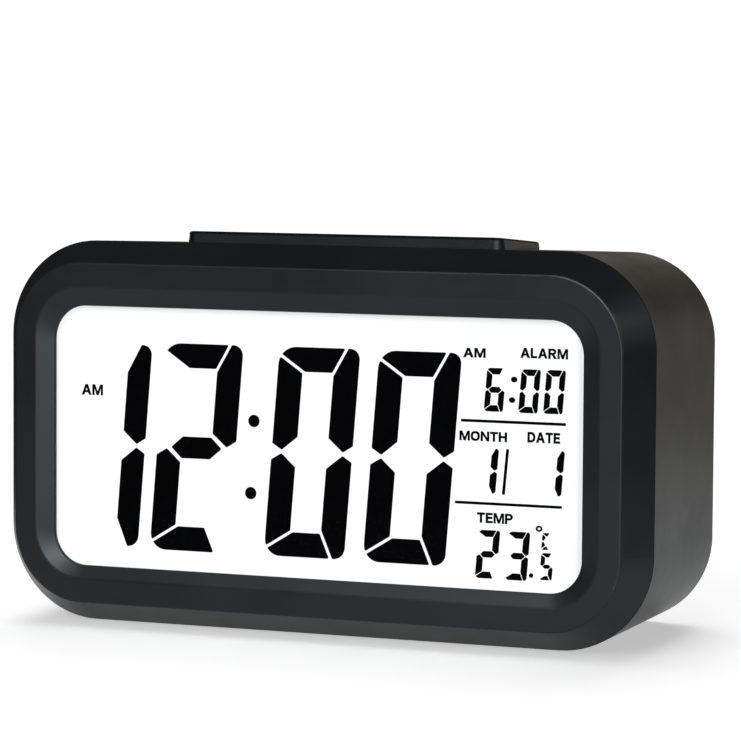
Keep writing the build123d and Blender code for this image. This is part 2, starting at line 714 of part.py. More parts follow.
leads = {
    "battery_lead_red": ([(26.5, 35.0, 13.75), (31.0, 35.0, 13.75), (35.0, 30.0, 15.5), (36.5, 22.0, 18.0), (36.5, 16.0, 20.0), (36.5, 10.9, 20.0)], 0.65),
    "battery_lead_black": ([(-26.5, 35.0, 35.55), (-30.0, 35.0, 35.55), (-33.0, 29.0, 34.0), (-34.5, 21.0, 32.0), (-34.5, 16.0, 30.5), (-34.5, 10.9, 30.5)], 0.65),
    "sounder_lead_red": ([(-44.0, 38.4, 32.0), (-44.0, 34.0, 32.0), (-46.0, 28.0, 34.0), (-48.0, 20.0, 37.0), (-48.0, 15.5, 38.0), (-48.0, 10.9, 38.0)], 0.5),
    "sounder_lead_black": ([(-44.0, 38.4, 24.0), (-44.0, 34.0, 24.0), (-46.0, 28.0, 22.5), (-48.0, 20.0, 20.5), (-48.0, 15.5, 20.0), (-48.0, 10.9, 20.0)], 0.5),
}
for lead_name, (points, lead_r) in leads.items():
    spots = [tilt(*p) for p in points]
    radii = []
    for a, b, c in zip(spots, spots[1:], spots[2:]):
        turn = math.radians((b - a).get_angle(c - b))
        radii.append(0.45 * min((b - a).length, (c - b).length) / math.tan(turn / 2))
    with BuildPart() as lead:
        with BuildLine() as route:
            FilletPolyline(*spots, radius=radii)
        with BuildSketch(Plane(origin=spots[0], z_dir=spots[1] - spots[0])):
            Circle(lead_r)
        sweep(path=route.line)
    lead.part.label = lead_name
    export_step(lead.part, "parts/" + lead_name + ".step")
    run = sum(edge.length for edge in route.edges())
    print(lead_name, "length", round(run, 1), "volume ratio", round(lead.part.volume / (math.pi * lead_r ** 2 * run), 3), "radii", [round(r, 1) for r in radii])

with BuildPart() as ribbon_cable:
    with BuildSketch(at_side(12.0)):
        with BuildLine():
            FilletPolyline((10.9, 48.5), (17.0, 48.5), (26.0, 53.0), (35.0, 53.0), radius=[6.0, 6.0])
        trace(line_width=0.7)
    extrude(amount=13.0)
ribbon_cable.part.label = "ribbon_cable"

for piece in (front_bezel, rear_case, display_lens, lcd_front_glass, lcd_rear_glass, light_guide, reflector_sheet, lcd_frame,
              connector_strip, backlight_leds, main_pcb, chip_blob, quartz_crystal, capacitors, thermistor, case_screws,
              pcb_screws, snooze_bar, snooze_plunger, snooze_switch, snooze_board, snooze_bracket, bracket_screws,
              snooze_springs, button_board, board_screws, key_switches, slide_switch, switch_lever, switch_knob,
              battery_cover, contact_plates, contact_springs, piezo_plate, piezo_ceramic, ribbon_cable, base_pads):
    export_step(piece.part, "parts/" + piece.part.label + ".step")
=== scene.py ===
import bpy
import bmesh
import math
from mathutils import Matrix, Vector
from mathutils.geometry import tessellate_polygon


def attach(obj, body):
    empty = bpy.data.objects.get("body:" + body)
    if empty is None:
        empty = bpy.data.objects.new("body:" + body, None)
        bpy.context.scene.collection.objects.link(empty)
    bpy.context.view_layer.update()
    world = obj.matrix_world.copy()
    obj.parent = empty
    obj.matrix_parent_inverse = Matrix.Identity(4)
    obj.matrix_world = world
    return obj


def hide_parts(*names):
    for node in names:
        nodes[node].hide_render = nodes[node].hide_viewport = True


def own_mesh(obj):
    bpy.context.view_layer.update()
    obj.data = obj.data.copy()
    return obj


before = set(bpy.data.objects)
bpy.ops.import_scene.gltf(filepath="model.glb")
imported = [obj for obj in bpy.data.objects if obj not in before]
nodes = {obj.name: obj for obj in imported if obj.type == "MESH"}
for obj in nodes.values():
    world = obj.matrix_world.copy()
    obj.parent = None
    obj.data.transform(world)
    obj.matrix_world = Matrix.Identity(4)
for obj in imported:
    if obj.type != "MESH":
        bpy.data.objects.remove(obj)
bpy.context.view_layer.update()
scene = bpy.context.scene

# ------------------------------------------------------------------ the leaning case
# Case coordinates in millimetres: x across, y deep from the front rim's plane, z tall from the
# lower outer edge.  at() brings a point to the standing frame in metres, turn() a direction.
lean = math.atan2(1.45, 45.0 - 6.8)
sl, cl = math.sin(lean), math.cos(lean)
rise = 6.8 * sl + 0.35


def turn(v):
    return Vector((v[0], v[1] * cl + v[2] * sl, -v[1] * sl + v[2] * cl))


def at(x, y, z):
    return (turn((x, y, z)) + Vector((0.0, -24.04, rise))) / 1000.0


# ------------------------------------------------------------------ node helpers
def new_material(name):
    m = bpy.data.materials.new(name)
    m.use_nodes = True
    tree = m.node_tree
    tree.nodes.clear()
    out = tree.nodes.new("ShaderNodeOutputMaterial")
    bsdf = tree.nodes.new("ShaderNodeBsdfPrincipled")
    tree.links.new(bsdf.outputs["BSDF"], out.inputs["Surface"])
    return m, tree, bsdf, out


def node(tree, kind, inputs=(), **props):
    n = tree.nodes.new(kind)
    for k, v in props.items():
        setattr(n, k, v)
    for k, v in dict(inputs).items():
        if isinstance(v, bpy.types.NodeSocket):
            tree.links.new(v, n.inputs[k])
        else:
            n.inputs[k].default_value = v
    return n


def place(tree, scale=(1, 1, 1)):
    """Position on the object, in metres, stretched by scale."""
    c = node(tree, "ShaderNodeTexCoord")
    if tuple(scale) == (1, 1, 1):
        return c.outputs["Object"]
    return node(tree, "ShaderNodeMapping", {"Vector": c.outputs["Object"], "Scale": scale}).outputs["Vector"]


def noise(tree, where, scale, detail=2.0, rough=0.5, distort=0.0):
    return node(tree, "ShaderNodeTexNoise", {"Vector": where, "Scale": scale, "Detail": detail,
                                             "Roughness": rough, "Distortion": distort}).outputs["Fac"]


def span(tree, value, a, b, low, high, smooth=False):
    n = node(tree, "ShaderNodeMapRange", {"Value": value, "From Min": a, "From Max": b, "To Min": low, "To Max": high})
    n.clamp = True
    if smooth:
        n.interpolation_type = "SMOOTHSTEP"
    return n.outputs["Result"]


def math_node(tree, op, a, b=None):
    n = node(tree, "ShaderNodeMath", operation=op)
    for k, v in enumerate((a, b)):
        if v is None:
            continue
        if isinstance(v, bpy.types.NodeSocket):
            tree.links.new(v, n.inputs[k])
        else:
            n.inputs[k].default_value = v
    return n.outputs["Value"]


def ramp(tree, value, stops, mode="LINEAR"):
    n = node(tree, "ShaderNodeValToRGB", {"Fac": value})
    n.color_ramp.interpolation = mode
    while len(n.color_ramp.elements) < len(stops):
        n.color_ramp.elements.new(0.5)
    for e, (pos, col) in zip(n.color_ramp.elements, stops):
        e.position = pos
        e.color = (*col, 1.0)
    return n.outputs["Color"]


def mix(tree, fac, a, b):
    n = node(tree, "ShaderNodeMix", data_type="RGBA")
    for k, v in ((0, fac), (6, a), (7, b)):
        if isinstance(v, bpy.types.NodeSocket):
            tree.links.new(v, n.inputs[k])
        else:
            n.inputs[k].default_value = v if k == 0 else (*v, 1.0)
    return n.outputs[2]


def bump(tree, height, strength, distance, normal=None):
    ins = {"Height": height, "Strength": strength, "Distance": distance}
    if normal is not None:
        ins["Normal"] = normal
    return node(tree, "ShaderNodeBump", ins).outputs["Normal"]


def edges(tree, radius):
    """0 on flat faces, 1 on outer and inner edges, from how far a rounded normal leaves the true one."""
    soft = node(tree, "ShaderNodeBevel", {"Radius": radius}, samples=3)
    geo = node(tree, "ShaderNodeNewGeometry")
    dot = node(tree, "ShaderNodeVectorMath", operation="DOT_PRODUCT")
    tree.links.new(soft.outputs["Normal"], dot.inputs[0])
    tree.links.new(geo.outputs["Normal"], dot.inputs[1])
    return span(tree, dot.outputs["Value"], 0.995, 0.86, 0.0, 1.0)


# ------------------------------------------------------------------ materials
def moulded(name, dark, light, rough, grain=2300.0, depth=0.000022, strength=0.35, edge_wear_and_highlight=None, highlight_and_wear_strength=0.5, spread=0.03, sheen=0.5, tint=(1.0, 1.0, 1.0)):
    """Moulded plastic: spark-textured grain, slow changes of gloss and tone, edges rubbed smoother and lighter:
    rubbing, and partly a painted highlight along the edges.
    """
    m, t, b, _ = new_material(name)
    p = place(t)
    fine = noise(t, p, grain, 3.0, 0.62)
    slow = noise(t, p, 38.0, 4.0, 0.55)
    cloud = noise(t, p, 260.0, 3.0, 0.6)
    blend = node(t, "ShaderNodeMath", operation="MULTIPLY_ADD")
    t.links.new(fine, blend.inputs[0])
    blend.inputs[1].default_value = 0.55
    t.links.new(span(t, slow, 0.3, 0.7, 0.0, 0.45), blend.inputs[2])
    tone = ramp(t, blend.outputs["Value"], [(0.15, dark), (0.85, light)])
    gloss = math_node(t, "ADD", span(t, slow, 0.3, 0.7, rough - spread, rough + spread), span(t, cloud, 0.35, 0.65, -0.012, 0.012))
    if edge_wear_and_highlight is not None:
        # lighter, smoother edges: rubbing, and partly a painted highlight along ridges and corners
        rub_and_highlight = math_node(t, "MULTIPLY", edges(t, 0.0007), span(t, noise(t, p, 420.0, 3.0, 0.6), 0.35, 0.65, 0.15, highlight_and_wear_strength))
        tone = mix(t, rub_and_highlight, tone, edge_wear_and_highlight)
        gloss = math_node(t, "SUBTRACT", gloss, math_node(t, "MULTIPLY", rub_and_highlight, 0.14))
    t.links.new(tone, b.inputs["Base Color"])
    t.links.new(gloss, b.inputs["Roughness"])
    b.inputs["IOR"].default_value = 1.5
    b.inputs["Specular IOR Level"].default_value = sheen
    b.inputs["Specular Tint"].default_value = (*tint, 1.0)
    t.links.new(bump(t, fine, strength, depth), b.inputs["Normal"])
    return m


def metal(name, dark, light, rough, scale=(1, 1, 1), pitch=900.0, strength=0.15, depth=0.00001):
    """Drawn or plated metal: fine streaks along one way, dull patches."""
    m, t, b, _ = new_material(name)
    p = place(t, scale)
    streak = noise(t, p, pitch, 4.0, 0.65)
    patch = noise(t, place(t), 240.0, 3.0, 0.6)
    t.links.new(ramp(t, patch, [(0.3, dark), (0.72, light)]), b.inputs["Base Color"])
    t.links.new(math_node(t, "ADD", span(t, streak, 0.3, 0.7, rough - 0.08, rough + 0.08), span(t, patch, 0.35, 0.7, 0.06, -0.04)),
                b.inputs["Roughness"])
    b.inputs["Metallic"].default_value = 1.0
    t.links.new(bump(t, streak, strength, depth), b.inputs["Normal"])
    return m


# The case and bar plastics have a cool tint on their sheen: a painted colour of cool reflected light.
case_plastic = moulded("case_plastic", (0.0034, 0.0036, 0.0040), (0.0060, 0.0063, 0.0068), 0.38,
                       edge_wear_and_highlight=(0.014, 0.014, 0.0145), highlight_and_wear_strength=0.55, sheen=0.22, tint=(0.91, 0.97, 1.0))
# A shaded copy of the case plastic, with less sheen and a cooler sheen tint, to dim the reflections on the case's side
# walls.
shaded_case_plastic = moulded("case_plastic_shaded", (0.0034, 0.0036, 0.0040), (0.0060, 0.0063, 0.0068), 0.38,
                       edge_wear_and_highlight=(0.014, 0.014, 0.0145), highlight_and_wear_strength=0.55, sheen=0.17, tint=(0.82, 0.96, 1.0))
bar_plastic = moulded("bar_plastic", (0.0020, 0.0021, 0.0022), (0.0034, 0.0035, 0.0037), 0.32, grain=2600.0,
                      edge_wear_and_highlight=(0.015, 0.015, 0.0155), highlight_and_wear_strength=0.6, sheen=0.28, tint=(0.88, 0.98, 1.0))
key_plastic = moulded("key_plastic", (0.010, 0.010, 0.0105), (0.020, 0.020, 0.021), 0.33, grain=3000.0, strength=0.22,
                      edge_wear_and_highlight=(0.045, 0.045, 0.046), highlight_and_wear_strength=0.7)
inner_plastic = moulded("inner_plastic", (0.018, 0.018, 0.019), (0.032, 0.032, 0.034), 0.48)
switch_body = moulded("switch_body", (0.016, 0.016, 0.017), (0.028, 0.028, 0.030), 0.34, grain=2800.0)
white_plastic = moulded("white_plastic", (0.68, 0.68, 0.66), (0.80, 0.80, 0.78), 0.46)
white_film = moulded("white_film", (0.80, 0.80, 0.79), (0.88, 0.88, 0.87), 0.55, grain=1400.0)
pad_rubber = moulded("pad_rubber", (0.012, 0.012, 0.012), (0.028, 0.028, 0.028), 0.82, grain=1500.0, strength=0.6, depth=0.00005)
elastomer = moulded("elastomer", (0.42, 0.31, 0.31), (0.58, 0.46, 0.46), 0.60)
wire_red = moulded("wire_red", (0.34, 0.012, 0.012), (0.50, 0.024, 0.02), 0.42)
wire_black = moulded("wire_black", (0.010, 0.010, 0.010), (0.022, 0.022, 0.022), 0.42)
epoxy = moulded("epoxy", (0.008, 0.008, 0.008), (0.020, 0.020, 0.020), 0.22, grain=700.0, strength=0.15)
piezo = moulded("piezo", (0.60, 0.58, 0.54), (0.74, 0.72, 0.68), 0.42)
led_body = moulded("led_body", (0.74, 0.70, 0.44), (0.86, 0.82, 0.58), 0.30)
white_acrylic = moulded("white_acrylic", (0.80, 0.82, 0.84), (0.88, 0.90, 0.92), 0.16, grain=900.0, strength=0.1)
nickel = metal("nickel", (0.52, 0.50, 0.46), (0.68, 0.66, 0.62), 0.28, (0.15, 1, 1))
can_metal = metal("can_metal", (0.42, 0.43, 0.46), (0.60, 0.62, 0.65), 0.34, (1, 0.1, 1))
screw_steel = metal("screw_steel", (0.36, 0.36, 0.38), (0.52, 0.52, 0.54), 0.30)
brass = metal("brass", (0.52, 0.37, 0.13), (0.70, 0.52, 0.22), 0.30, (1, 1, 0.1))


def board_material():
    """Green solder mask over copper runs, with the weave of the laminate showing through."""
    m, t, b, _ = new_material("board")
    p = place(t)
    runs = node(t, "ShaderNodeTexBrick", {"Vector": p, "Scale": 160.0, "Mortar Size": 0.09, "Brick Width": 1.7, "Row Height": 0.32,
                                          "Color1": (0.016, 0.115, 0.045, 1), "Color2": (0.020, 0.135, 0.055, 1),
                                          "Mortar": (0.006, 0.060, 0.024, 1)})
    weave = noise(t, p, 1900.0, 2.0)
    t.links.new(mix(t, span(t, weave, 0.3, 0.7, 0.0, 0.35), runs.outputs["Color"], (0.03, 0.17, 0.07)), b.inputs["Base Color"])
    t.links.new(span(t, weave, 0.3, 0.7, 0.28, 0.40), b.inputs["Roughness"])
    t.links.new(bump(t, runs.outputs["Fac"], 0.2, 0.00003), b.inputs["Normal"])
    return m


def ribbon_material():
    m, t, b, _ = new_material("ribbon")
    wave = node(t, "ShaderNodeTexWave", {"Vector": place(t), "Scale": 160.0, "Distortion": 0.0}, wave_type="BANDS", bands_direction="X")
    grain = noise(t, place(t), 1500.0)
    t.links.new(ramp(t, wave.outputs["Fac"], [(0.2, (0.28, 0.28, 0.29)), (0.8, (0.50, 0.50, 0.52))]), b.inputs["Base Color"])
    t.links.new(span(t, grain, 0.3, 0.7, 0.40, 0.52), b.inputs["Roughness"])
    t.links.new(bump(t, wave.outputs["Fac"], 0.5, 0.0002), b.inputs["Normal"])
    return m


def cell_material(name, sign):
    """Plain cell: bare steel at both ends, a slate sleeve with one narrow pale band at the positive end."""
    m, t, b, _ = new_material(name)
    sep = node(t, "ShaderNodeSeparateXYZ", {"Vector": place(t)})
    along = math_node(t, "MULTIPLY", sep.outputs["X"], float(sign))
    steps = ramp(t, span(t, along, -0.0250, 0.0250, 0.0, 1.0),
                 [(0.0, (0.55, 0.54, 0.52)), (0.075, (0.085, 0.120, 0.150)), (0.80, (0.46, 0.48, 0.49)), (0.885, (0.55, 0.54, 0.52))], "CONSTANT")
    isle = ramp(t, span(t, along, -0.0250, 0.0250, 0.0, 1.0),
                [(0.0, (1, 1, 1)), (0.075, (0.1, 0.1, 0.1)), (0.80, (0.1, 0.1, 0.1)), (0.885, (1, 1, 1))], "CONSTANT")
    scuff = noise(t, place(t, (0.2, 1, 1)), 700.0, 4.0, 0.65)
    t.links.new(mix(t, span(t, scuff, 0.52, 0.75, 0.0, 0.25), steps, (0.40, 0.40, 0.40)), b.inputs["Base Color"])
    t.links.new(isle, b.inputs["Metallic"])
    t.links.new(span(t, scuff, 0.3, 0.7, 0.24, 0.40), b.inputs["Roughness"])
    t.links.new(bump(t, scuff, 0.1, 0.00002), b.inputs["Normal"])
    return m


def lens_material():
    """Clear acrylic with a weak reflection that grows towards grazing angles."""
    m = bpy.data.materials.new("lens")
    m.use_nodes = True
    t = m.node_tree
    t.nodes.clear()
    out = node(t, "ShaderNodeOutputMaterial")
    clear = node(t, "ShaderNodeBsdfTransparent", {"Color": (0.985, 0.990, 0.992, 1.0)})
    smear = noise(t, place(t), 90.0, 3.0, 0.6)
    gloss = node(t, "ShaderNodeBsdfGlossy", {"Color": (1, 1, 1, 1), "Roughness": span(t, smear, 0.3, 0.7, 0.05, 0.11)})
    facing = node(t, "ShaderNodeFresnel", {"IOR": 1.03})
    both = node(t, "ShaderNodeMixShader", {"Fac": facing.outputs["Fac"]})
    t.links.new(clear.outputs["BSDF"], both.inputs[1])
    t.links.new(gloss.outputs["BSDF"], both.inputs[2])
    t.links.new(both.outputs["Shader"], out.inputs["Surface"])
    return m


def panel_material():
    """Lit white display field: even in the middle, with a painted shadow of the window's lip just under its top edge
    and along its right edge.
    """
    m, t, b, _ = new_material("panel")
    p = place(t)
    sep = node(t, "ShaderNodeSeparateXYZ", {"Vector": p})
    # painted shadow of the window's lip: the glow falls off towards the right and top edges
    lip_shadow_right = math_node(t, "EXPONENT", math_node(t, "MULTIPLY", math_node(t, "SUBTRACT", sep.outputs["X"], 0.0536), 1450.0))
    lip_shadow_top = math_node(t, "EXPONENT", math_node(t, "MULTIPLY", math_node(t, "SUBTRACT", sep.outputs["Z"], 0.06266), 1600.0))
    side = span(t, lip_shadow_right, 0.0, 1.0, 1.0, 0.72)
    tall = span(t, lip_shadow_top, 0.0, 1.0, 1.0, 0.74)
    slow = span(t, sep.outputs["X"], -0.055, 0.055, 1.0, 0.975, True)
    patch = span(t, noise(t, p, 26.0, 2.0), 0.35, 0.65, 0.985, 1.0)
    grain = noise(t, p, 5200.0, 2.0)
    glow = math_node(t, "MULTIPLY", math_node(t, "MULTIPLY", side, tall), math_node(t, "MULTIPLY", slow, patch))
    t.links.new(ramp(t, grain, [(0.3, (0.140, 0.144, 0.146)), (0.7, (0.160, 0.164, 0.166))]), b.inputs["Base Color"])
    t.links.new(span(t, grain, 0.3, 0.7, 0.46, 0.56), b.inputs["Roughness"])
    b.inputs["Specular IOR Level"].default_value = 0.1
    b.inputs["Emission Color"].default_value = (1.0, 0.985, 0.965, 1.0)
    t.links.new(math_node(t, "MULTIPLY", glow, 0.885), b.inputs["Emission Strength"])
    t.links.new(bump(t, grain, 0.05, 0.00001), b.inputs["Normal"])
    return m


def ink_material():
    """Darkened liquid crystal."""
    m, t, b, _ = new_material("segment_ink")
    grain = noise(t, place(t), 3600.0, 2.0)
    t.links.new(ramp(t, grain, [(0.3, (0.0003, 0.0003, 0.0004)), (0.7, (0.0007, 0.0007, 0.0009))]), b.inputs["Base Color"])
    t.links.new(span(t, grain, 0.3, 0.7, 0.50, 0.62), b.inputs["Roughness"])
    b.inputs["Specular IOR Level"].default_value = 0.01
    t.links.new(bump(t, grain, 0.05, 0.00001), b.inputs["Normal"])
    return m


board = board_material()
ribbon = ribbon_material()
lens = lens_material()
panel = panel_material()
ink = ink_material()

finish = {
    "front_bezel": case_plastic, "rear_case": shaded_case_plastic, "battery_cover": shaded_case_plastic,
    "snooze_bar": bar_plastic,
    "button_set": key_plastic, "button_up": key_plastic, "button_down": key_plastic, "button_alarm": key_plastic,
    "switch_knob": key_plastic,
    "plunger_set": inner_plastic, "plunger_up": inner_plastic, "plunger_down": inner_plastic, "plunger_alarm": inner_plastic,
    "snooze_plunger": inner_plastic, "snooze_bracket": inner_plastic,
    "snooze_switch": switch_body, "key_switches": switch_body, "switch_lever": switch_body,
    "slide_switch": nickel, "quartz_crystal": can_metal, "capacitors": can_metal, "thermistor": epoxy, "chip_blob": epoxy,
    "display_lens": lens, "lcd_front_glass": panel, "lcd_rear_glass": white_acrylic, "light_guide": white_acrylic,
    "reflector_sheet": white_film, "lcd_frame": white_plastic, "connector_strip": elastomer, "backlight_leds": led_body,
    "main_pcb": board, "button_board": board, "snooze_board": board,
    "case_screws": screw_steel, "pcb_screws": screw_steel, "bracket_screws": screw_steel, "board_screws": screw_steel,
    "snooze_springs": nickel, "contact_plates": nickel, "contact_springs": nickel,
    "cell_1": cell_material("cell_sleeve_a", 1), "cell_2": cell_material("cell_sleeve_b", -1), "cell_3": cell_material("cell_sleeve_c", 1),
    "piezo_plate": brass, "piezo_ceramic": piezo,
    "battery_lead_red": wire_red, "sounder_lead_red": wire_red, "battery_lead_black": wire_black, "sounder_lead_black": wire_black,
    "ribbon_cable": ribbon, "base_pads": pad_rubber,
}
for name, obj in nodes.items():
    obj.data.materials.clear()
    obj.data.materials.append(finish[name])

# The bar's two coil springs as a piece of their own.
coils = bpy.data.objects.new("snooze_spring_coils", nodes["snooze_springs"].data.copy())
scene.collection.objects.link(coils)
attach(coils, "case")
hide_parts("snooze_springs")
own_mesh(coils)

# ------------------------------------------------------------------ what the display shows
# Flat outlines in case x and z, raised a little from the front glass towards the lens.
GLASS, RAISE = 3.992, 3.93


def on_glass(x, y, z):
    return at(x + 0.11, y, z + 0.13)


def clip(poly, p, d, side):
    """The part of a convex outline on one side of the line through p along d (side 1 keeps its left)."""
    def off(q):
        return side * (d[0] * (q[1] - p[1]) - d[1] * (q[0] - p[0]))
    kept = []
    for k, q in enumerate(poly):
        r = poly[(k + 1) % len(poly)]
        a, b = off(q), off(r)
        if a >= 0:
            kept.append(q)
        if (a < 0) != (b < 0):
            s = a / (a - b)
            kept.append((q[0] + s * (r[0] - q[0]), q[1] + s * (r[1] - q[1])))
    return kept


def soften(poly, radius, steps=5):
    """Rounds the corners of an outline."""
    clean = [q for k, q in enumerate(poly) if math.dist(q, poly[k - 1]) > 1e-4]
    out = []
    for k, q in enumerate(clean):
        a, b = Vector(clean[k - 1]), Vector(clean[(k + 1) % len(clean)])
        c = Vector(q)
        u, v = a - c, b - c
        lu, lv = u.length, v.length
        u.normalize()
        v.normalize()
        half = math.acos(max(-1.0, min(1.0, u.dot(v)))) / 2
        if half > math.radians(80) or half < 0.05:
            out.append(q)
            continue
        reach = min(radius / math.tan(half), 0.45 * lu, 0.45 * lv)
        r = reach * math.tan(half)
        mid = c + (u + v).normalized() * (r / math.sin(half))
        start, end = c + u * reach - mid, c + v * reach - mid
        turn_by = math.atan2(start.x * end.y - start.y * end.x, start.dot(end))
        for s in range(steps + 1):
            w = turn_by * s / steps
            out.append((mid.x + start.x * math.cos(w) - start.y * math.sin(w), mid.y + start.x * math.sin(w) + start.y * math.cos(w)))
    return out


def rounded_box(hw, hh, radii, steps=10):
    """Outline of a box with its own radius at each corner: top right, top left, bottom left, bottom right."""
    out = []
    for k, (sx, sz) in enumerate(((1, 1), (-1, 1), (-1, -1), (1, -1))):
        r = radii[k]
        for s in range(steps + 1):
            w = math.radians(90 * k + 90 * s / steps)
            out.append((sx * (hw - r) + r * math.cos(w), sz * (hh - r) + r * math.sin(w)))
    return out


LIT = {"0": "abcdef", "1": "bc", "2": "abged", "3": "abgcd", "5": "afgcd", "6": "afgecd", "C": "afed"}


def seven(sign, cx, cz, hw, hh, sw, sh, sg, gap, slope=0.08, corner=(0.26, 0.42), soft=0.05):
    """Outlines of the lit bars of one slanted digit of half width hw and half height hh."""
    xi, zi, m = hw - sw, hh - sh, sg / 2
    box = rounded_box(hw, hh, (corner[0] * sw * 1.6, corner[1] * sw * 1.6, corner[1] * sw * 1.6, corner[0] * sw * 1.6))
    bars = []
    for bar in LIT[sign]:
        up = -1 if bar in "ecd" else 1
        tl_p, tl_d = Vector((-xi, zi)), Vector((-sw, 0.70 * sh)).normalized()
        tr_p, tr_d = Vector((xi, zi)), Vector((0.46 * sw, sh)).normalized()
        tl_n, tr_n = Vector((-tl_d.y, tl_d.x)), Vector((-tr_d.y, tr_d.x))
        if bar in "ad":
            q = clip(box, (0, zi), (1, 0), 1)
            q = clip(q, tl_p - tl_n * gap, tl_d, -1)
            q = clip(q, tr_p + tr_n * gap, tr_d, 1)
        elif bar in "fe":
            q = clip(box, (-xi, 0), (0, 1), 1)
            q = clip(q, tl_p + tl_n * gap, tl_d, 1)
            tip = (-xi - 0.60 * sw, 0.0)
            q = clip(q, (tip[0], gap * 1.15), Vector((0.60 * sw, m + 0.10 * sw)).normalized(), 1)
            q = clip(q, (tip[0], gap * 1.15), Vector((-0.40 * sw, 0.24 * sw)).normalized(), -1)
        elif bar in "bc":
            q = clip(box, (xi, 0), (0, 1), -1)
            q = clip(q, tr_p - tr_n * gap, tr_d, -1)
            tip = (xi + 0.62 * sw, 0.0)
            q = clip(q, (tip[0], gap * 1.15), Vector((-0.62 * sw, m + 0.10 * sw)).normalized(), -1)
            q = clip(q, (tip[0], gap * 1.15), Vector((0.38 * sw, 0.24 * sw)).normalized(), 1)
        else:
            far = xi + 0.40 * sw
            q = [(-far, 0), (-xi + 0.05 * sw, -m), (xi - 0.05 * sw, -m), (far, 0), (xi - 0.05 * sw, m), (-xi + 0.05 * sw, m)]
        if up < 0:
            q = [(x, -z) for x, z in reversed(q)]
        q = soften(q, soft)
        bars.append([(cx + x + slope * z, cz + z) for x, z in q])
    return bars


def disc(cx, cz, r, tall=1.0, n=40):
    return [(cx + r * math.cos(2 * math.pi * k / n), cz + r * tall * math.sin(2 * math.pi * k / n)) for k in range(n)]


def stroke(x0, z0, x1, z1, w):
    d = Vector((x1 - x0, z1 - z0)).normalized()
    n = Vector((-d.y, d.x)) * (w / 2)
    return soften([(x0 - n.x, z0 - n.y), (x1 - n.x, z1 - n.y), (x1 + n.x, z1 + n.y), (x0 + n.x, z0 + n.y)], 0.06)


def grow(poly, by):
    """An outline moved outwards by a distance, or inwards where it is negative."""
    clean = [q for k, q in enumerate(poly) if math.dist(q, poly[k - 1]) > 1e-4]
    n = len(clean)
    turned = sum(clean[k - 1][0] * clean[k][1] - clean[k][0] * clean[k - 1][1] for k in range(n))
    by = by if turned > 0 else -by
    out = []
    for k in range(n):
        a, c, b = Vector(clean[k - 1]), Vector(clean[k]), Vector(clean[(k + 1) % n])
        u, v = (c - a).normalized(), (b - c).normalized()
        nu, nv = Vector((u.y, -u.x)), Vector((v.y, -v.x))
        m = nu + nv
        reach = min(by / max(m.dot(nu), 0.25), 2.2 * by) if by > 0 else max(by / max(m.dot(nu), 0.25), 2.2 * by)
        out.append(tuple(c + m * reach))
    return out


def slabs(name, outlines, rings=(), by=0.05):
    """One piece of thin closed slabs standing on the glass, one for each outline; rings are outlines with a hole."""
    bm = bmesh.new()
    outlines = [grow(q, by) for q in outlines]
    rings = [[grow(loop, -by if k else by) for k, loop in enumerate(loops)] for loops in rings]

    def walls(front, back, flip=False):
        for k in range(len(front)):
            j = (k + 1) % len(front)
            loop = (front[k], back[k], back[j], front[j])
            bm.faces.new(loop[::-1] if flip else loop)

    for q in outlines:
        front = [bm.verts.new(on_glass(x, RAISE, z)) for x, z in q]
        back = [bm.verts.new(on_glass(x, GLASS, z)) for x, z in q]
        bm.faces.new(front)
        bm.faces.new(back[::-1])
        walls(front, back)
    for loops in rings:
        flat = [q for loop in loops for q in loop]
        front = [bm.verts.new(on_glass(x, RAISE, z)) for x, z in flat]
        back = [bm.verts.new(on_glass(x, GLASS, z)) for x, z in flat]
        for tri in tessellate_polygon([[Vector((x, z, 0)) for x, z in loop] for loop in loops]):
            bm.faces.new([front[k] for k in tri])
            bm.faces.new([back[k] for k in reversed(tri)])
        start = 0
        for loop in loops:
            walls(front[start:start + len(loop)], back[start:start + len(loop)])
            start += len(loop)
    bmesh.ops.recalc_face_normals(bm, faces=bm.faces)
    mesh = bpy.data.meshes.new(name)
    bm.to_mesh(mesh)
    bm.free()
    return dress(name, mesh)


def dress(name, mesh):
    obj = bpy.data.objects.new(name, mesh)
    scene.collection.objects.link(obj)
    mesh.materials.append(ink)
    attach(obj, "case")
    return obj


big = dict(hw=8.42, hh=20.2, sw=5.12, sh=4.65, sg=4.15, gap=0.33, soft=0.22)
time_bars = seven("2", -25.65, 35.12, **big) + seven("0", -1.05, 35.22, **big) + seven("0", 19.78, 35.15, **big)
time_bars += seven("1", -45.25, 34.98, **{**big, "hh": 19.75, "sw": 4.85})
slabs("display_time", time_bars + [disc(-13.31, 40.87, 1.16), disc(-13.94, 26.86, 1.16)])

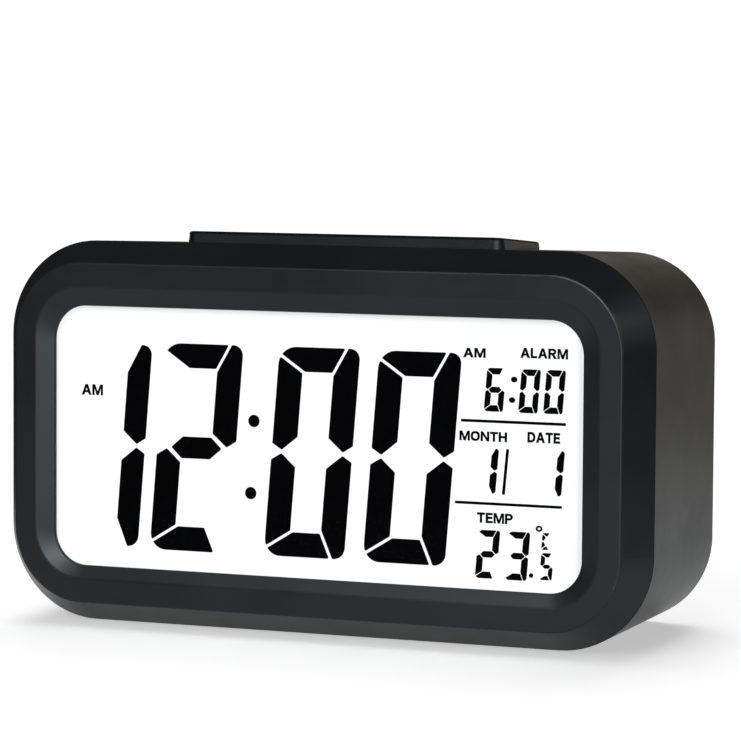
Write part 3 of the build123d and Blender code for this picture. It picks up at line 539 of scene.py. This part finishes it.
small = dict(hw=1.88, hh=4.06, sw=1.08, sh=1.12, sg=1.04, gap=0.115, soft=0.07)
slabs("display_alarm_time", seven("6", 36.55, 48.72, **small) + seven("0", 43.47, 48.68, **small) + seven("0", 48.45, 48.72, **small)
      + [disc(40.38, 50.78, 0.60, 0.84), disc(39.98, 46.92, 0.60, 0.84)])
dates = {**small, "hh": 4.2, "sw": 1.30}
slabs("display_date", seven("1", 35.2, 33.4, **dates) + seven("1", 48.38, 33.5, **dates) + [stroke(38.41, 29.10, 39.20, 37.62, 0.5)])
degrees = {**small, "hw": 2.14, "hh": 4.54, "sw": 1.24, "sh": 1.20, "sg": 1.12}
tiny = dict(hw=1.20, hh=2.50, sw=0.76, sh=0.70, sg=0.66, gap=0.125, soft=0.04)
slabs("display_temperature", seven("2", 35.32, 17.64, **degrees) + seven("3", 41.36, 17.62, **degrees)
      + seven("5", 47.18, 15.95, **tiny) + seven("C", 47.10, 20.68, **{**tiny, "hw": 0.84, "hh": 1.54, "sw": 0.56, "sh": 0.54})
      + [disc(44.12, 14.12, 0.40)],
      [[disc(45.63, 23.0, 0.64, 0.86), disc(45.63, 23.0, 0.32, 0.86)]])
slabs("display_rules", [stroke(29.75, 42.75, 50.75, 42.75, 0.52), stroke(28.65, 27.22, 50.1, 27.22, 0.5)], by=0.02)


# Plain block capitals on a grid one unit tall: width, outline, and the outline of a hole where there is one.
T, W = 0.185, 0.175        # thickness of level and of upright strokes


def bowl(x0, z0, x1, z1, r, n=7):
    """Right-hand end of a D-shaped outline, from its lower to its upper corner."""
    r = min(r, (z1 - z0) / 2, x1 - x0)
    low = [(x1 - r + r * math.sin(math.pi / 2 * k / n), z0 + r - r * math.cos(math.pi / 2 * k / n)) for k in range(n + 1)]
    return [(x0, z0)] + low + [(x, z0 + z1 - z) for x, z in reversed(low)] + [(x0, z1)]


def ring(w, n=44, inset=(0.0, 0.0), power=2.5):
    """A squarish oval one unit tall."""
    hx, hz = w / 2 - inset[0], 0.5 - inset[1]
    out = []
    for k in range(n):
        a = 2 * math.pi * k / n
        c, d = math.cos(a), math.sin(a)
        out.append((w / 2 + hx * math.copysign(abs(c) ** (2 / power), c), 0.5 + hz * math.copysign(abs(d) ** (2 / power), d)))
    return out


LETTERS = {
    "A": (0.86, [(0, 0), (W * 1.1, 0), (0.27, 0.24), (0.59, 0.24), (0.86 - W * 1.1, 0), (0.86, 0), (0.53, 1), (0.33, 1)],
          [(0.325, 0.40), (0.43, 0.76), (0.535, 0.40)]),
    "D": (0.76, bowl(0, 0, 0.76, 1, 0.42), bowl(W, T, 0.76 - W, 1 - T, 0.28)),
    "E": (0.62, [(0, 0), (0.62, 0), (0.62, T), (W, T), (W, 0.42), (0.57, 0.42), (0.57, 0.42 + T), (W, 0.42 + T), (W, 1 - T), (0.61, 1 - T), (0.61, 1), (0, 1)], None),
    "H": (0.76, [(0, 0), (W, 0), (W, 0.41), (0.76 - W, 0.41), (0.76 - W, 0), (0.76, 0), (0.76, 1), (0.76 - W, 1), (0.76 - W, 0.41 + T), (W, 0.41 + T), (W, 1), (0, 1)], None),
    "L": (0.58, [(0, 0), (0.58, 0), (0.58, T), (W, T), (W, 1), (0, 1)], None),
    "M": (0.96, [(0, 0), (W * 0.95, 0), (W * 0.95, 0.70), (0.40, 0), (0.56, 0), (0.96 - W * 0.95, 0.70), (0.96 - W * 0.95, 0), (0.96, 0),
                 (0.96, 1), (0.735, 1), (0.48, 0.30), (0.225, 1), (0, 1)], None),
    "N": (0.78, [(0, 0), (W, 0), (W, 0.68), (0.78 - W, 0), (0.78, 0), (0.78, 1), (0.78 - W, 1), (0.78 - W, 0.33), (W, 1), (0, 1)], None),
    "O": (0.84, ring(0.84), ring(0.84, inset=(W, T))),
    "P": (0.70, [(0, 0), (W, 0), (W, 0.38)] + bowl(W, 0.38, 0.70, 1, 0.30)[1:-1] + [(0, 1)], bowl(W, 0.38 + T * 0.9, 0.70 - W, 1 - T * 0.9, 0.17)),
    "R": (0.76, [(0, 0), (W, 0), (W, 0.40), (0.34, 0.40), (0.54, 0), (0.76, 0), (0.53, 0.42)] + bowl(W, 0.42, 0.72, 1, 0.28)[2:-1] + [(0, 1)],
          bowl(W, 0.42 + T * 0.85, 0.72 - W, 1 - T * 0.9, 0.16)),
    "T": (0.70, [(0.35 - W / 2, 0), (0.35 + W / 2, 0), (0.35 + W / 2, 1 - T), (0.70, 1 - T), (0.70, 1), (0, 1), (0, 1 - T), (0.35 - W / 2, 1 - T)], None),
}
SPACE = 0.13


def words(name, entries):
    """Words fitted to their places: (text, left, base, right, top)."""
    solid, holed = [], []
    for text, left, base, right, top in entries:
        run = sum(LETTERS[c][0] for c in text) + SPACE * (len(text) - 1)
        kx, kz, pen = (right - left) / run, top - base, 0.0
        for c in text:
            w, outer, inner = LETTERS[c]
            loops = [[(left + (pen + x) * kx, base + z * kz) for x, z in loop] for loop in (outer, inner) if loop]
            holed.append(loops)
            pen += w + SPACE
    return slabs(name, solid, holed, by=0.062)


words("display_words", [
    ("AM", -50.65, 44.65, -46.1, 46.65), ("AM", 30.15, 54.7, 34.55, 56.4), ("ALARM", 41.65, 54.95, 51.0, 56.75),
    ("MONTH", 29.5, 39.0, 39.0, 40.75), ("DATE", 43.2, 39.15, 49.6, 41.05), ("TEMP", 33.2, 23.6, 40.3, 25.45)])

# ------------------------------------------------------------------ floor, light, camera
def floor_material():
    m, t, b, _ = new_material("floor")
    out = next(n for n in t.nodes if n.type == "OUTPUT_MATERIAL")
    grain = noise(t, place(t), 700.0, 3.0)
    t.links.new(ramp(t, grain, [(0.3, (0.86, 0.86, 0.86)), (0.7, (0.90, 0.90, 0.90))]), b.inputs["Base Color"])
    t.links.new(span(t, grain, 0.3, 0.7, 0.75, 0.85), b.inputs["Roughness"])
    b.inputs["Specular IOR Level"].default_value = 0.1
    b.inputs["Emission Color"].default_value = (1.0, 1.0, 1.0, 1.0)
    b.inputs["Emission Strength"].default_value = 0.495
    # seen from below, the floor is clear, so that the underside can be looked at
    back = node(t, "ShaderNodeNewGeometry")
    clear = node(t, "ShaderNodeBsdfTransparent")
    both = node(t, "ShaderNodeMixShader", {"Fac": back.outputs["Backfacing"]})
    t.links.new(b.outputs["BSDF"], both.inputs[1])
    t.links.new(clear.outputs["BSDF"], both.inputs[2])
    t.links.new(both.outputs["Shader"], out.inputs["Surface"])
    return m


floor_mesh = bpy.data.meshes.new("floor")
floor_mesh.from_pydata([(-0.16, -0.30, 0), (0.19, -0.30, 0), (0.19, 0.22, 0), (-0.16, 0.22, 0)], [], [(0, 1, 2, 3)])
floor = bpy.data.objects.new("floor", floor_mesh)
floor_mesh.materials.append(floor_material())
scene.collection.objects.link(floor)


def linked(light, include, pieces):
    """The light falls on these pieces alone, or on everything but them."""
    group = bpy.data.collections.new(light.name + "_falls_on")
    for obj in pieces:
        group.objects.link(obj)
    light.light_linking.receiver_collection = group
    for item in group.collection_objects:
        item.light_linking.link_state = "INCLUDE" if include else "EXCLUDE"


def area(name, place_at, aim, size, power, colour):
    data = bpy.data.lights.new(name, "AREA")
    data.shape = "RECTANGLE"
    data.size, data.size_y = size
    data.energy = power
    data.color = colour
    lamp = bpy.data.objects.new(name, data)
    scene.collection.objects.link(lamp)
    lamp.location = place_at
    lamp.visible_camera = False
    lamp.rotation_mode = "QUATERNION"
    lamp.rotation_quaternion = (Vector(aim) - Vector(place_at)).to_track_quat("-Z", "Y")
    return lamp


# Broad light from above, from behind and low from the left, on the floor alone: it gives the soft shadow along the front.
for name, energy, spread, back, across in (("overhead", 0.24, 46, 10, -8), ("overhead_back", 0.70, 44, -13, -9), ("overhead_low", 0.86, 40, -38, -9), ("low_left", 0.68, 50, 52, -18)):
    sun = bpy.data.lights.new(name, "SUN")
    sun.energy = energy
    sun.angle = math.radians(spread)
    lamp = bpy.data.objects.new(name, sun)
    scene.collection.objects.link(lamp)
    lamp.rotation_euler = (math.radians(back), math.radians(across), 0)
    linked(lamp, True, [floor])


def softbox(name, azimuth, elevation, size, power, colour, far=0.85, skip=(), only=()):
    """A soft light on a ring about the object: azimuth 0 in front, 90 to its right. skip and only name nodes;
    only these are lit, and nothing else shades them."""
    a, e = math.radians(azimuth), math.radians(elevation)
    spot = (far * math.cos(e) * math.sin(a), -far * math.cos(e) * math.cos(a), 0.04 + far * math.sin(e))
    lamp = area(name, spot, (0, 0, 0.04), size, power, colour)
    if only:
        linked(lamp, True, [nodes[n] for n in only])
        lamp.light_linking.blocker_collection = lamp.light_linking.receiver_collection
    else:
        linked(lamp, False, [floor] + [nodes[n] for n in skip])


cool, warm = (0.92, 0.965, 1.0), (1.0, 0.88, 0.72)
softbox("key", 8, 27, (0.25, 0.25), 3.8, cool, 0.60, skip=("rear_case", "snooze_bar"))
softbox("low", 10, 6, (0.42, 0.36), 2.4, (0.86, 0.94, 1.0), skip=("rear_case", "snooze_bar"))
softbox("top", -15, 50, (0.36, 0.36), 2.1, (1.0, 0.985, 0.96), skip=("snooze_bar",))
softbox("side", 75, 26, (0.36, 0.36), 2.9, (1.0, 0.98, 0.95), skip=("snooze_bar", "rear_case"))
softbox("side_rear", 75, 26, (0.36, 0.36), 0.9, (1.0, 0.98, 0.95), only=("rear_case",))
softbox("bar_front", -12, 0, (0.34, 0.12), 2.1, cool, 0.60, only=("snooze_bar",))
softbox("bar_corner", 48, 0, (0.40, 0.12), 7.0, cool, 0.60, only=("snooze_bar",))
softbox("right_back", 160, 1, (0.40, 0.30), 0.20, (1.0, 0.95, 0.86))
softbox("mid_back", 177, 20, (0.40, 0.30), 0.15, warm, skip=("front_bezel", "snooze_bar"))
softbox("over", 180, 60, (0.50, 0.40), 0.6, (1.0, 1.0, 1.0), skip=("front_bezel",))
softbox("left_back", 200, 10, (0.36, 0.36), 0.13, (1.0, 0.90, 0.78))
softbox("back", 236, -6, (0.60, 0.26), 3.4, (1.0, 1.0, 1.0), skip=("front_bezel",))

world = bpy.data.worlds.new("studio")
scene.world = world
world.use_nodes = True
wt = world.node_tree
wt.nodes.clear()
seen = node(wt, "ShaderNodeBackground", {"Color": (1, 1, 1, 1), "Strength": 1.05})
dim = node(wt, "ShaderNodeBackground", {"Color": (1.0, 0.97, 0.93, 1), "Strength": 0.03})
path = node(wt, "ShaderNodeLightPath")
pick = node(wt, "ShaderNodeMixShader", {"Fac": path.outputs["Is Camera Ray"]})
wt.links.new(dim.outputs["Background"], pick.inputs[1])
wt.links.new(seen.outputs["Background"], pick.inputs[2])
wt.links.new(pick.outputs["Shader"], node(wt, "ShaderNodeOutputWorld").inputs["Surface"])

scene.view_settings.view_transform = "Standard"
scene.view_settings.look = "None"

# Camera at the photograph's angle, worked out in case coordinates.
yaw, pitch, roll, far, focal = math.radians(23.39), math.radians(4.14), math.radians(0.36), 703.8, 3726.91
cy, sy, cp, sp = math.cos(yaw), math.sin(yaw), math.cos(pitch), math.sin(pitch)
right = Vector((cy, sy, 0))
ahead = Vector((-sy * cp, cy * cp, -sp))
above = Vector((-sy * sp, cy * sp, cp))
cam_right = math.cos(roll) * right + math.sin(roll) * above
cam_up = math.cos(roll) * above - math.sin(roll) * right
spot = Vector((12.93, 0, 52.10)) - far * ahead
cam_data = bpy.data.cameras.new("camera")
cam_data.sensor_fit = "HORIZONTAL"
cam_data.sensor_width = 36.0
cam_data.lens = focal * 36.0 / 741.0
cam_data.clip_start, cam_data.clip_end = 0.05, 50.0
camera = bpy.data.objects.new("camera", cam_data)
scene.collection.objects.link(camera)
axes = Matrix((turn(cam_right), turn(cam_up), turn(-ahead))).transposed().to_4x4()
camera.matrix_world = Matrix.Translation(at(*spot)) @ axes
scene.camera = camera
